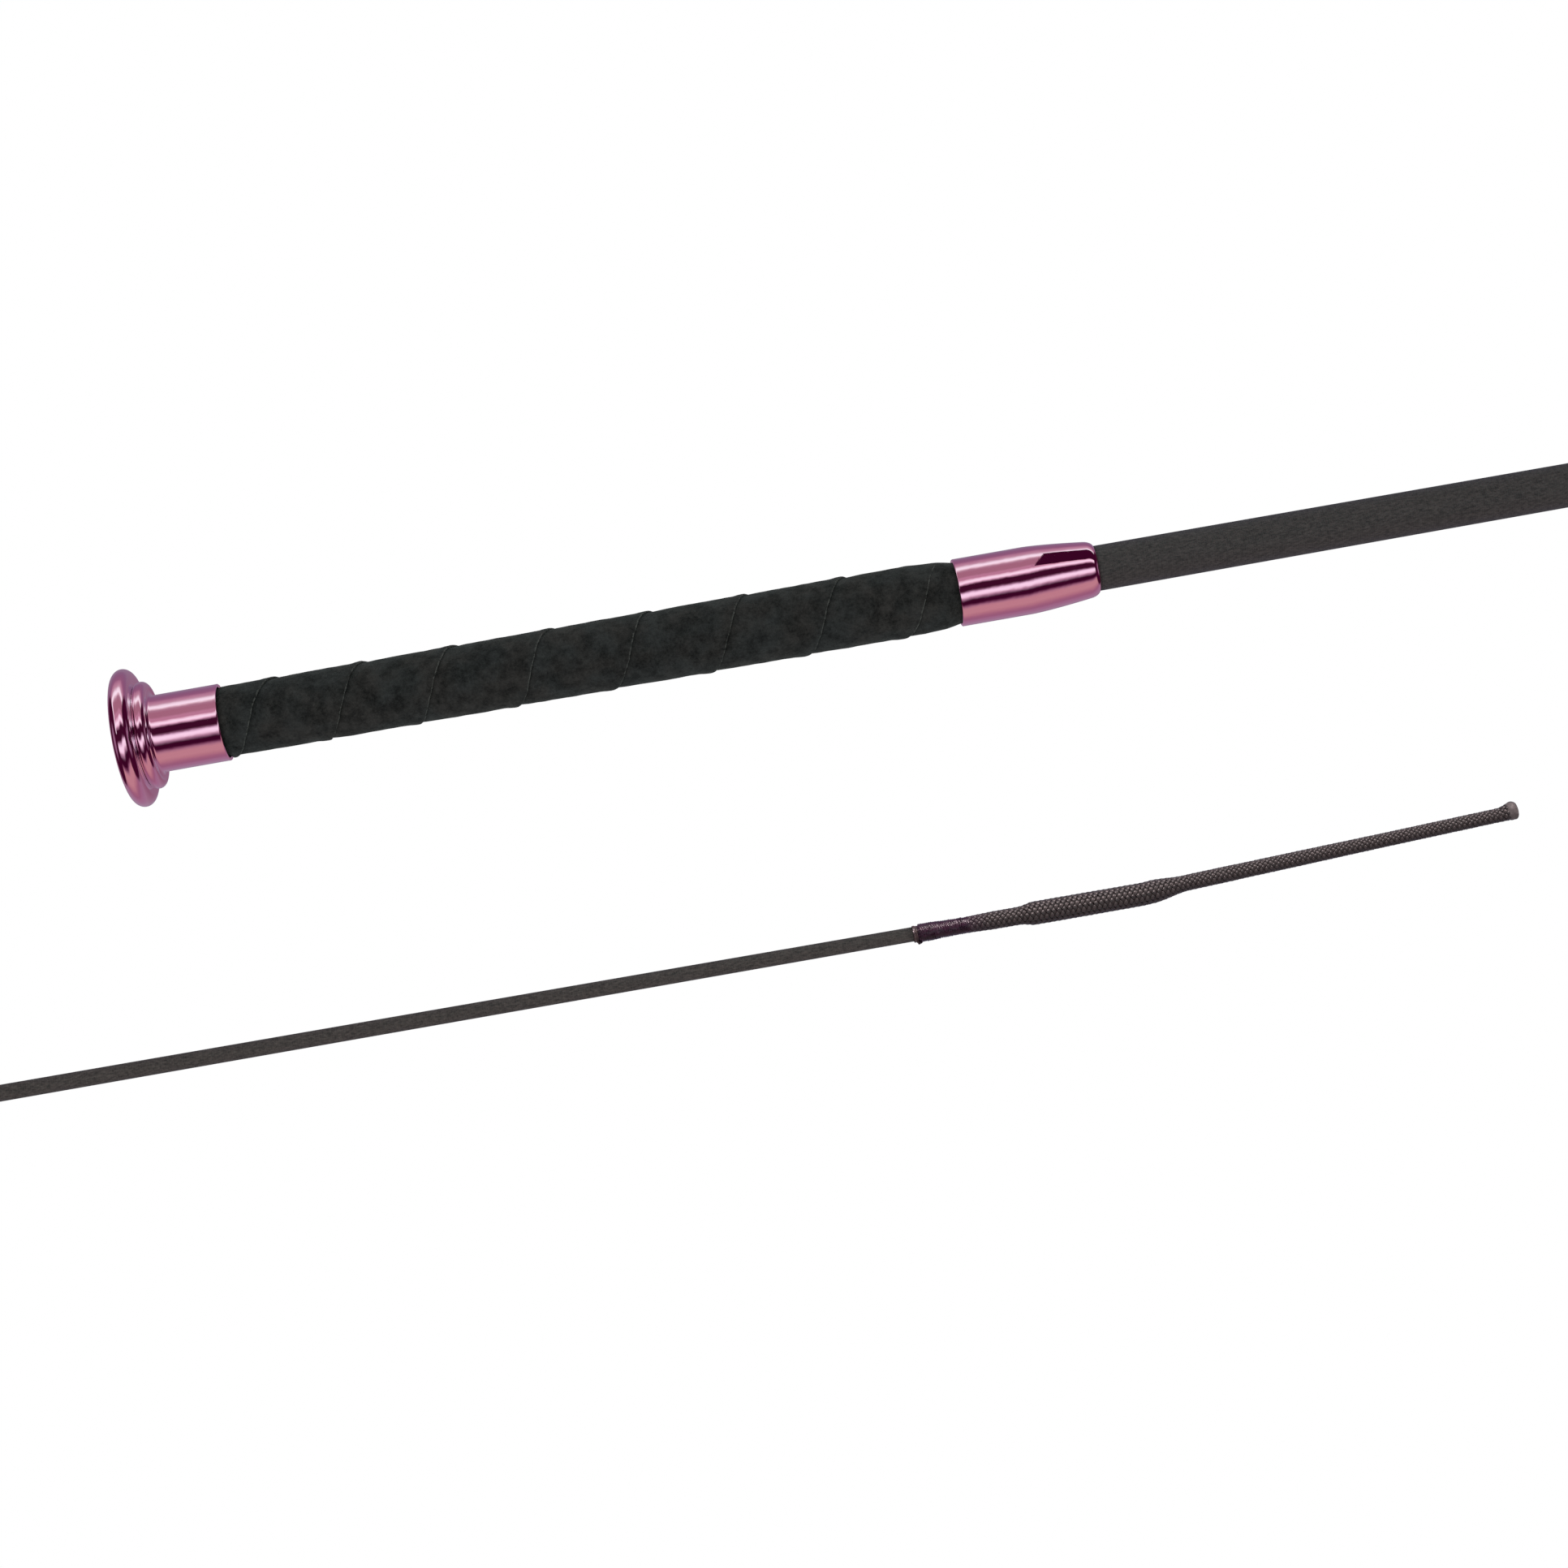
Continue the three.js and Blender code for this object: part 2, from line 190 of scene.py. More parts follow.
def suede():
    material, tree, shader = new_material("suede_wrap")
    point = rest_point(tree)
    blotches = noise(tree, point, 0.36, 3, 0.6)
    nap = noise(tree, point, 1.5, 4, 0.75)
    grain = noise(tree, point, 4.2, 3, 0.7)
    level = remap(tree, blotches, 0.36, 0.64, 0.0, 0.42)
    level = maths(tree, "ADD", level, remap(tree, nap, 0.34, 0.66, 0.0, 0.36))
    level = maths(tree, "ADD", level, remap(tree, grain, 0.34, 0.66, 0.0, 0.22))
    hue = remap(tree, noise(tree, point, 0.13, 2), 0.4, 0.6)
    light = mix_colour(tree, hue, (0.0300, 0.0330, 0.0325, 1), (0.0335, 0.0325, 0.0305, 1))
    colour = mix_colour(tree, level, (0.0016, 0.0017, 0.0017, 1), light)
    # Lighter band on each lip's rounded corner and cut edge: the bare cut edge's paler colour together with a
    # painted highlight along the seam.
    edge = maths(tree, "MULTIPLY", attribute(tree, "edge"), remap(tree, nap, 0.44, 0.58, 0.1, 0.9))
    colour = mix_colour(tree, edge, colour, (0.066, 0.070, 0.064, 1))
    tree.links.new(colour, shader.inputs["Base Color"])
    shader.inputs["Roughness"].default_value = 0.95
    shader.inputs["Specular IOR Level"].default_value = 0.1
    shader.inputs["Sheen Weight"].default_value = 0.045
    shader.inputs["Sheen Roughness"].default_value = 0.5
    shader.inputs["Sheen Tint"].default_value = (0.8, 0.9, 0.85, 1)
    coarse = bump(tree, nap, 0.06)
    tree.links.new(bump(tree, grain, 0.035, 1.0, coarse), shader.inputs["Normal"])
    return material


def shaft_cover():
    """Very fine plait under a satin coating, a little paler towards the thin end."""
    material, tree, shader = new_material("plaited_cover")
    point = rest_point(tree)
    around = attribute(tree, "around")
    along = node(tree, "ShaderNodeSeparateXYZ", {0: point}).outputs[0]
    run = maths(tree, "MULTIPLY", along, 6.5)
    ends = maths(tree, "MULTIPLY", around, 48)
    one_way = maths(tree, "SINE", maths(tree, "ADD", run, ends))
    other_way = maths(tree, "SINE", maths(tree, "SUBTRACT", run, ends))
    plait = maths(tree, "MULTIPLY", one_way, other_way)
    grain_space = node(
        tree, "ShaderNodeMapping", {"Vector": point, "Scale": (0.6, 1.5, 1.5)}
    ).outputs[0]
    grain = noise(tree, grain_space, 1.7, 4, 0.75)
    tone = mix_colour(
        tree, remap(tree, grain, 0.34, 0.66), (0.0112, 0.0086, 0.0085, 1), (0.053, 0.0435, 0.0415, 1)
    )
    tone = mix_colour(tree, remap(tree, plait, -1, 1, 0.0, 0.25), tone, (0.062, 0.051, 0.049, 1))
    paler = remap(tree, along, 300, 800, 0.0, 1.0)
    tone = mix_colour(tree, paler, tone, mix_colour(tree, 1.0, tone, (1.38, 1.36, 1.30, 1), "MULTIPLY"))
    tree.links.new(tone, shader.inputs["Base Color"])
    shader.inputs["Roughness"].default_value = 0.62
    shader.inputs["Specular IOR Level"].default_value = 0.28
    weave = bump(tree, plait, 0.018)
    tree.links.new(bump(tree, grain, 0.04, 0.9, weave), shader.inputs["Normal"])
    return material


def lash_cord(name, dark, light, roughness, shine, wax_end=None):
    """Nylon yarn; wax_end is where wax that has soaked in from the binding has faded out, in mm."""
    material, tree, shader = new_material(name)
    strand = node(tree, "ShaderNodeAttribute", attribute_name="strand").outputs["Vector"]
    parts = node(tree, "ShaderNodeSeparateXYZ", {0: strand})
    stretched = node(tree, "ShaderNodeMapping", {"Vector": strand, "Scale": (1.3, 5.0, 33.0)}).outputs[0]
    fibre = noise(tree, stretched, 1.6, 4, 0.7)
    crown = attribute(tree, "crown")
    tone = mix_colour(tree, remap(tree, fibre, 0.3, 0.7), dark, light)
    # shade is the cord's colour in shadow. Painted shade: darker on each strand's inner side and where it dips
    # under the crossing strands, where crown is low.
    shade = tuple(0.3 * c for c in dark[:3]) + (1,)
    tone = mix_colour(tree, remap(tree, crown, 0.08, 0.85, 0.95, 0.0), tone, shade)
    # Painted shade: the strands of one way of the braid are darkened all along, standing for light that catches
    # only the strands leaning the other way.
    leaning = maths(tree, "LESS_THAN", parts.outputs[2], CARRIERS - 0.5)
    tone = mix_colour(tree, maths(tree, "MULTIPLY", leaning, 0.45), tone, shade)
    each = node(tree, "ShaderNodeTexWhiteNoise", {"W": parts.outputs[2]}, noise_dimensions="1D").outputs[0]
    tone = mix_colour(tree, remap(tree, each, 0, 1, 0.0, 0.2), tone, light)
    # Painted shade: darker towards the outline, where the cord is seen edge-on.
    facing = node(tree, "ShaderNodeLayerWeight", {"Blend": 0.5}).outputs["Facing"]
    tone = mix_colour(tree, remap(tree, facing, 0.5, 0.95, 0.0, 0.75), tone, shade)
    if wax_end is not None:
        along = node(tree, "ShaderNodeSeparateXYZ", {0: rest_point(tree)}).outputs[0]
        soaked = remap(tree, along, BINDING_END_X, wax_end, 0.75, 0.0)
        tone = mix_colour(tree, soaked, tone, (0.022, 0.007, 0.016, 1))
    tree.links.new(tone, shader.inputs["Base Color"])
    shader.inputs["Roughness"].default_value = roughness
    shader.inputs["Specular IOR Level"].default_value = shine
    shader.inputs["Specular Tint"].default_value = (1.0, 0.8, 0.8, 1)
    threads = maths(tree, "SINE", maths(tree, "MULTIPLY", parts.outputs[1], 9.0))
    ridges = bump(tree, threads, 0.012)
    tree.links.new(bump(tree, fibre, 0.03, 1.0, ridges), shader.inputs["Normal"])
    return material


def waxed_thread():
    """Thread under a smear of dark wax, with a bare brownish turn where the binding starts."""
    material, tree, shader = new_material("waxed_thread")
    point = rest_point(tree)
    smear = noise(tree, point, 1.1, 3, 0.6)
    along = node(tree, "ShaderNodeSeparateXYZ", {0: point}).outputs[0]
    tone = mix_colour(
        tree, remap(tree, smear, 0.35, 0.65), (0.0065, 0.0010, 0.0040, 1), (0.024, 0.0055, 0.0150, 1)
    )
    bare = remap(tree, along, BINDING_START_X + 0.8, BINDING_START_X + 1.0, 1.0, 0.0)
    bare = maths(tree, "MULTIPLY", bare, remap(tree, smear, 0.35, 0.6, 0.35, 1.0))
    tone = mix_colour(tree, bare, tone, (0.052, 0.033, 0.031, 1))
    tree.links.new(tone, shader.inputs["Base Color"])
    roughness = remap(tree, noise(tree, point, 2.0, 3), 0.35, 0.65, 0.14, 0.36)
    tree.links.new(roughness, shader.inputs["Roughness"])
    shader.inputs["Specular IOR Level"].default_value = 0.32
    shader.inputs["Specular Tint"].default_value = (1.0, 0.8, 0.85, 1)
    tree.links.new(bump(tree, smear, 0.25), shader.inputs["Normal"])
    return material


def plain_finish(name, dark, light, roughness, scale=0.8):
    """Moulded or pultruded stock for the pieces held inside."""
    material, tree, shader = new_material(name)
    place = node(tree, "ShaderNodeTexCoord").outputs["Object"]
    speckle = noise(tree, place, scale / MM, 4, 0.6)
    colour = mix_colour(tree, remap(tree, speckle, 0.3, 0.7), dark, light)
    tree.links.new(colour, shader.inputs["Base Color"])
    shader.inputs["Roughness"].default_value = roughness
    tree.links.new(bump(tree, speckle, 0.02), shader.inputs["Normal"])
    return material


# ---- meshes ----


def add_mesh(name, points, faces, material, attributes=None, sharp_deg=None, weld=False):
    """points in mm, one row each; faces as rows of point numbers."""
    points = np.asarray(points, float)
    mesh = bpy.data.meshes.new(name)
    mesh.from_pydata((points * MM).tolist(), [], [list(face) for face in faces])
    stored = {"rest": points}
    stored.update(attributes or {})
    for key, values in stored.items():
        values = np.asarray(values, np.float32)
        if values.ndim == 2:
            mesh.attributes.new(key, "FLOAT_VECTOR", "POINT").data.foreach_set("vector", values.ravel())
        else:
            mesh.attributes.new(key, "FLOAT", "POINT").data.foreach_set("value", values)
    if weld:
        work = bmesh.new()
        work.from_mesh(mesh)
        bmesh.ops.remove_doubles(work, verts=work.verts, dist=1e-7)
        work.to_mesh(mesh)
        work.free()
    mesh.shade_smooth()
    if sharp_deg is not None:
        mesh.set_sharp_from_angle(angle=math.radians(sharp_deg))
    mesh.materials.append(material)
    made = bpy.data.objects.new(name, mesh)
    bpy.context.scene.collection.objects.link(made)
    return made


def grid_faces(rows, columns, closed=True, start=0):
    """Quads between rows of points; closed joins each row's last point to its first."""
    r = np.arange(rows - 1)[:, None]
    c = np.arange(columns if closed else columns - 1)[None, :]
    n = (c + 1) % columns
    quads = np.stack([r * columns + c, r * columns + n, (r + 1) * columns + n, (r + 1) * columns + c], -1)
    return quads.reshape(-1, 4)[:, ::-1] + start


def around_axis(x, r, sides):
    """Rings of points about the X axis for arrays x and r; angle 0 is up, a quarter turn faces the front."""
    angle = np.arange(sides) * TAU / sides
    x, r = np.asarray(x, float)[:, None], np.asarray(r, float)[:, None]
    rings = np.stack([x + 0 * angle, -r * np.sin(angle), r * np.cos(angle)], -1)
    return rings.reshape(-1, 3), np.broadcast_to(angle, (len(x), sides)).ravel()


def lathe(name, profile, sides, material, sharp_deg=38):
    x, r = np.array(profile, float).T
    points, around = around_axis(x, r, sides)
    return add_mesh(
        name, points, grid_faces(len(x), sides), material, {"around": around}, sharp_deg, weld=True
    )


def arc(centre_x, centre_r, radius, start_deg, end_deg, steps):
    """Points on a circle in the profile plane; 0 degrees points along +X and 90 away from the axis."""
    angles = np.radians(np.linspace(start_deg, end_deg, steps + 1))
    return [(centre_x + radius * math.cos(a), centre_r + radius * math.sin(a)) for a in angles]


def smoothstep(low, high, value):
    t = np.clip((np.asarray(value, float) - low) / (high - low), 0, 1)
    return t * t * (3 - 2 * t)


# ---- butt cap and ferrule ----


def cap_head(material):
    rim_r = RIM_OUTER_R - RIM_ROLL_R
    middle = (RIM_FRONT_X + RIM_BACK_X) / 2
    flatten = (RIM_BACK_X - RIM_FRONT_X) / (2 * RIM_ROLL_R)
    profile = [(0, 0), (0, 2), (0, 5), (0, 8.2)]
    profile += [(0.06, 8.36), (0.3, 8.44), (0.3, 8.86), (0.06, 8.94), (0.01, 9.1), (0.06, 9.8), (0.14, 10.4)]
    profile += [(0.25, 11.0), (0.37, 11.5)]
    profile += [(middle + x * flatten, r) for x, r in arc(0, rim_r, RIM_ROLL_R, 176, 0, 40)]
    profile += [(RIM_BACK_X, 11.4), (RIM_BACK_X, 9), (RIM_BACK_X, 4.5), (12.3, 4.5), (12.3, 0)]
    return lathe("cap_head", profile, 160, material)


def cap_neck(material):
    ring_r, tube_r, ring_x = 9.7, 1.4, 5.9
    bore = NECK_R - 0.6
    start = math.degrees(math.acos((RIM_BACK_X - ring_x) / tube_r))
    profile = arc(ring_x, ring_r, tube_r, start, -18, 34)
    profile += [(7.2, 8.95), (7.22, 8.6), (7.3, 8.3), (7.42, 8.12), (7.58, 8.0), (7.78, NECK_R)]
    profile += [(9.5, NECK_R), (12, NECK_R), (17, NECK_R), (20.6, NECK_R)]
    profile += arc(NECK_END_X - 0.32, NECK_R - 0.3, 0.32, 84, -60, 10)
    profile += [(NECK_END_X - 0.3, bore), (9, bore), (9, 4.6), (RIM_BACK_X, 4.6), profile[0]]
    return lathe("cap_neck", profile, 160, material)


def ferrule_shell(material):
    profile = [(FERRULE_START_X + 0.3, FERRULE_R - 0.5)]
    profile += arc(FERRULE_START_X + 0.3, FERRULE_R - 0.3, 0.3, 190, 90, 8)
    profile += [(176, FERRULE_R), (182, FERRULE_R), (187, FERRULE_R)]
    cone = FERRULE_NOSE_X - FERRULE_STRAIGHT_END_X
    for t in np.linspace(0, 1, 16):
        drop = (FERRULE_R - FERRULE_NOSE_R) * t**1.4
        profile.append((FERRULE_STRAIGHT_END_X + cone * t, FERRULE_R - drop))
    nose = FERRULE_END_X - FERRULE_NOSE_X
    for a in np.radians(np.linspace(80, 4, 14)):
        roll = 1.35 * (1 - math.sin(a)) + 0.04
        profile.append((FERRULE_NOSE_X + nose * math.cos(a), FERRULE_NOSE_R - roll))
    profile += [(FERRULE_END_X - 0.1, 4.45), (202, 4.4), (198.5, 5.2), (190, 6.4)]
    profile.append((FERRULE_START_X + 0.3, 6.5))
    return lathe("ferrule_shell", profile, 160, material)


# ---- suede strip ----


def ripple(rng, amount, waves, *axes):
    """A smooth random function as a sum of sines; axes are (values, lowest, highest frequency)."""
    total = 0
    for _ in range(waves):
        phase = rng.uniform(0, TAU)
        argument = phase
        for values, low, high in axes:
            argument = argument + values * rng.uniform(low, high) * rng.choice([-1, 1])
        total = total + np.sin(argument)
    return amount * total / math.sqrt(waves)


def through(values, at):
    """Smooth curve through evenly spaced values, taken at fractional positions."""
    values = np.asarray(values, float)
    at = np.clip(at, 0, len(values) - 1.001)
    k = np.floor(at).astype(int)
    t = at - k
    before, here = values[np.maximum(k - 1, 0)], values[k]
    after, later = values[k + 1], values[np.minimum(k + 2, len(values) - 1)]
    slope, next_slope = (after - before) / 2, (later - here) / 2
    curve = (2 * t**3 - 3 * t**2 + 1) * here + (t**3 - 2 * t**2 + t) * slope
    return curve + (3 * t**2 - 2 * t**3) * after + (t**3 - t**2) * next_slope


# How far each half turn of the strip's lip lies from an even winding, in mm.
LIP_WANDER = [1.8, 1.0, 0.4, -0.45, -1.0, -0.2, -0.8, 0.0, -0.5, 0.3, -0.25, 0.0, 0.0, 0.8, 0.3]

# The lip in section, as (mm past the seam, mm above the lip's radius, how much of the bare cut edge shows,
# painted lighter as a highlight along the seam).
LIP_SECTION = [
    (-0.6, 0.01, 0.0),
    (-0.34, 0.0, 0.0),
    (-0.2, -0.01, 0.15),
    (-0.12, -0.02, 0.9),
    (-0.04, -0.06, 1.0),
    (0.02, -0.15, 0.9),
    (0.04, -0.26, 0.4),
    (0.03, -0.36, 0.1),
    (-0.03, -0.47, 0.0),
]


def lip_wander(turn):
    wander = through(LIP_WANDER, turn * 2)
    wander = wander + 0.07 * np.sin(turn * 17.0 + 1.0) + 0.05 * np.sin(turn * 41.0)
    return wander + 0.035 * np.sin(turn * 83.0 + 2.0) + 0.02 * np.sin(turn * 151.0)


def suede_strip(material):
    """One strip wound left-handed; each turn swells to a lip that lies on the start of the next turn."""
    rng = np.random.default_rng(11)
    sides = 240
    body = np.linspace(0, 1, 30)[:-1] ** 0.95
    along = body * (WRAP_PITCH - 0.9)
    climb = WRAP_LOW_R + 0.17 * (1 - np.exp(-along / 2.2)) + 0.09 * body
    climb = climb + (WRAP_LIP_R - WRAP_LOW_R - 0.26) * smoothstep(17.2, 19.2, along)
    offsets = np.concatenate([along, [WRAP_PITCH + x for x, _, _ in LIP_SECTION]])
    radii = np.concatenate([climb, [WRAP_LIP_R + rise for _, rise, _ in LIP_SECTION]])
    edges = np.concatenate([0 * along, [bare for _, _, bare in LIP_SECTION]])
    turns = np.arange(-2, 10)
    angle = np.arange(sides + 1) * TAU / sides
    n, o, a = np.meshgrid(turns, offsets, angle, indexing="ij")
    turn = n - a / TAU
    share = o / WRAP_PITCH
    x = WRAP_FIRST_SEAM_X + WRAP_PITCH * (turn - 1) + o
    x = x + lip_wander(turn - 1) * (1 - share) + lip_wander(turn) * share
    r = np.broadcast_to(radii[None, :, None], x.shape).copy()
    r += ripple(rng, 0.04, 7, (x, 0.15, 0.7), (a, 1, 4))
    r += ripple(rng, 0.02, 9, (x, 0.8, 2.2), (a, 4, 12))
    r = np.minimum(r, 6.78 + 1.6 * np.maximum(x - NECK_END_X - 0.05, 0))
    r = np.minimum(r, np.interp(x, [160, 167, 170.5, 172.1, 173.9], [7.7, 7.1, 6.95, 6.68, 6.3]))
    x = np.clip(x, WRAP_START_X, WRAP_END_X)
    points = np.stack([x, -r * np.sin(a), r * np.cos(a)], -1).reshape(-1, 3)
    rows = len(turns) * len(offsets)
    edge = np.broadcast_to(edges[None, :, None], n.shape).reshape(-1)
    faces = grid_faces(rows, sides + 1, closed=False)
    return add_mesh("suede_strip", points, faces, material, {"edge": edge}, weld=True)


# ---- shaft ----


def cover_radius(x):
    """The two straight tapers and the cubic that joins them, as in the solid model."""
    x = np.asarray(x, float)
    x0, r0, m0 = 302.0, 4.53, -0.0016
    x1, r1, m1 = 789.0, 1.70, -0.0011
    span = x1 - x0
    t = np.clip((x - x0) / span, 0, 1)
    curve = (2 * t**3 - 3 * t**2 + 1) * r0 + (t**3 - 2 * t**2 + t) * span * m0
    curve = curve + (3 * t**2 - 2 * t**3) * r1 + (t**3 - t**2) * span * m1
    return np.where(x < x0, r0 + m0 * (x - x0), np.where(x > x1, r1 + m1 * (x - x1), curve))


def shaft_pieces(material):
    """One length of cover for each body; a ring rounded about each hinge's centre fills the bent joint."""
    ends = [COVER_START_X] + FLEX_X + [COVER_END_X]
    bodies = ["handle"] + [f"shaft_{i:02d}" for i in range(2, 14)]
    sides = 44
    for i, body in enumerate(bodies):
        first, last = i == 0, i == len(bodies) - 1
        start = ends[i] + (0 if first else HINGE_GAP * float(cover_radius(ends[i])))
        end = ends[i + 1] - (0 if last else HINGE_GAP * float(cover_radius(ends[i + 1])))
        x = np.linspace(start, end, int((end - start) / 2) + 2)
        r = cover_radius(x)
        if first:
            x = np.concatenate([[x[0]], x])
            r = np.concatenate([[r[0] - 0.3], r])
        if last:
            x = np.concatenate([x, [x[-1]]])
            r = np.concatenate([r, [r[-1] - 0.3]])
        points, around = around_axis(x, r, sides)
        faces = grid_faces(len(x), sides)
        if not last:
            ball = 0.995 * float(cover_radius(ends[i + 1]))
            lean = np.radians(np.linspace(-6, 10, 9))
            ring, ring_around = around_axis(ends[i + 1] + ball * np.sin(lean), ball * np.cos(lean), sides)
            faces = np.concatenate([faces, grid_faces(len(lean), sides, start=len(points))])
            points = np.concatenate([points, ring])
            around = np.concatenate([around, ring_around])
        piece = add_mesh(f"shaft_cover_{i + 1:02d}", points, faces, material, {"around": around})
        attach(piece, body)
        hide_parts(f"cover_{i + 1:02d}")


# ---- cords ----


def tube_along(path, across, up, half_width, half_height, corners=8):
    """Rings of a flattened tube about a path; across and up are unit vectors at each point."""
    angle = np.arange(corners) * TAU / corners
    wide = np.cos(angle)[None, :, None] * np.broadcast_to(np.asarray(half_width), len(path))[:, None, None]
    high = np.sin(angle)[None, :, None] * np.broadcast_to(np.asarray(half_height), len(path))[:, None, None]
    rings = path[:, None, :] + across[:, None, :] * wide + up[:, None, :] * high
    return rings.reshape(-1, 3), angle


def unit(vectors):
    return vectors / np.linalg.norm(vectors, axis=-1, keepdims=True)


def binding_coils(thread):
    """Waxed thread wound in close, slightly uneven turns over a smear of wax, with a knot at its start."""
    turns, thread_r = 27, 0.225
    steps = 40
    t = np.linspace(0, turns, turns * steps + 1)
    length = BINDING_END_X - BINDING_START_X - 2 * thread_r
    rng = np.random.default_rng(5)
    x = BINDING_START_X + thread_r + length * t / turns + ripple(rng, 0.05, 6, (t, 0.5, 5.0))
    lumps = ripple(rng, 0.04, 6, (t, 0.8, 7.0))
    r = binding_radius(x) - thread_r + lumps - 0.1 * (1 - smoothstep(0, 0.4, t))
    angle = t * TAU
    radial = np.stack([0 * t, -np.sin(angle), np.cos(angle)], -1)
    path = radial * r[:, None]
    path[:, 0] = x
    tangent = unit(np.gradient(path, axis=0))
    across = unit(np.cross(tangent, radial))
    corners = 10
    points, _ = tube_along(path, across, radial, thread_r * 1.05, thread_r, corners)
    coils = add_mesh("binding_thread_coils", points, grid_faces(len(path), corners), thread)
    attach(coils, "shaft_13")
    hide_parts("binding_thread")
    wax_x = np.linspace(BINDING_START_X, BINDING_END_X, 90)
    points, around = around_axis(wax_x, binding_radius(wax_x) - 0.06, 48)
    swell = ripple(rng, 0.045, 9, (points[:, 0], 0.8, 4.0), (around, 1, 5))
    points[:, 1:] *= (1 + swell / BINDING_LOW_R)[:, None]
    wax = add_mesh("binding_wax", points, grid_faces(len(wax_x), 48), thread)
    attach(wax, "shaft_13")
    tied = knot(thread)
    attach(tied, "shaft_13")
    return [coils, wax, tied]


def binding_radius(x):
    """Thickest just after the knot's groove, then thinning towards the lash."""
    r = BINDING_LOW_R + 0.16 * smoothstep(973.9, 974.6, x) * (1 - smoothstep(976.0, 980.0, x))
    r = r - 0.16 * smoothstep(973.3, 973.7, x) * (1 - smoothstep(974.0, 974.5, x))
    return r - 0.07 * smoothstep(979.0, BINDING_END_X, x)


def knot(material):
    """Overhand knot: a short length of the thread looped round itself."""
    t = np.linspace(0, TAU, 90)
    loop = np.stack([np.sin(t) + 2 * np.sin(2 * t), np.cos(t) - 2 * np.cos(2 * t), -np.sin(3 * t)], -1)
    loop = loop * np.array([0.15, 0.12, 0.15])
    path = loop @ np.array(Matrix.Rotation(0.5, 3, "X")).T + np.array([BINDING_START_X + 1.05, -0.45, -1.78])
    tangent = unit(np.gradient(path, axis=0))
    up = unit(np.cross(tangent, np.array([0.3, 1.0, 0.2])))
    across = np.cross(up, tangent)
    corners = 8
    points, _ = tube_along(path, across, up, 0.21, 0.21, corners)
    made = add_mesh("binding_knot", points, grid_faces(len(path), corners), material)
    return made


# The lash's own line: straight along X over the rod and the splice, lifted a little where the splice
# thins out, then straight again at a small angle.
LASH_STEP = 0.05
LASH_S = np.arange(BINDING_END_X - 1, 1103, LASH_STEP)
LASH_ANGLE = np.radians(4.9 * smoothstep(1019.0, 1023.0, LASH_S) - 2.55 * smoothstep(1028.5, 1031.5, LASH_S))
LASH_LINE_X = LASH_S[0] + np.concatenate([[0], np.cumsum(np.cos(LASH_ANGLE[:-1]) * LASH_STEP)])
LASH_LINE_Z = np.concatenate([[0], np.cumsum(np.sin(LASH_ANGLE[:-1]) * LASH_STEP)])
FLARE_LIFT = 0.34
LASH_LINE_Z = LASH_LINE_Z + FLARE_LIFT * smoothstep(1096.0, 1099.0, LASH_S)


def lash_frame(s):
    """Centre, side and up vectors of the lash's line at arc length s."""
    a = np.interp(s, LASH_S, LASH_ANGLE)
    centre = np.stack([np.interp(s, LASH_S, LASH_LINE_X), 0 * s, np.interp(s, LASH_S, LASH_LINE_Z)], -1)
    up = np.stack([-np.sin(a), 0 * s, np.cos(a)], -1)
    side = np.stack([0 * s, -np.ones_like(s), 0 * s], -1)
    return centre, side, up


def spokes(side, up, angles):
    """Unit vectors square to the lash's line, one for each point of the line and each angle about it."""
    return side[:, None, :] * np.sin(angles)[None, :, None] + up[:, None, :] * np.cos(angles)[None, :, None]


def lash_radius(s):
    """Outside radius of the braid: over the rod end, the thick splice, then the slim tail and its flare."""
    r = 1.74 + 0.16 * smoothstep(984.0, 991.0, s)
    r = r + 0.55 * smoothstep(995.0, 998.4, s) - 0.03 * smoothstep(1006, 1018, s)
    r = r - 0.73 * smoothstep(1022.6, 1030.2, s) - 0.06 * smoothstep(1036, 1045, s)
    r = r - 0.12 * smoothstep(1045, 1075, s)
    return r + 0.38 * smoothstep(1096.0, 1099.0, s) - 0.6 * smoothstep(1098.0, 1098.9, s)


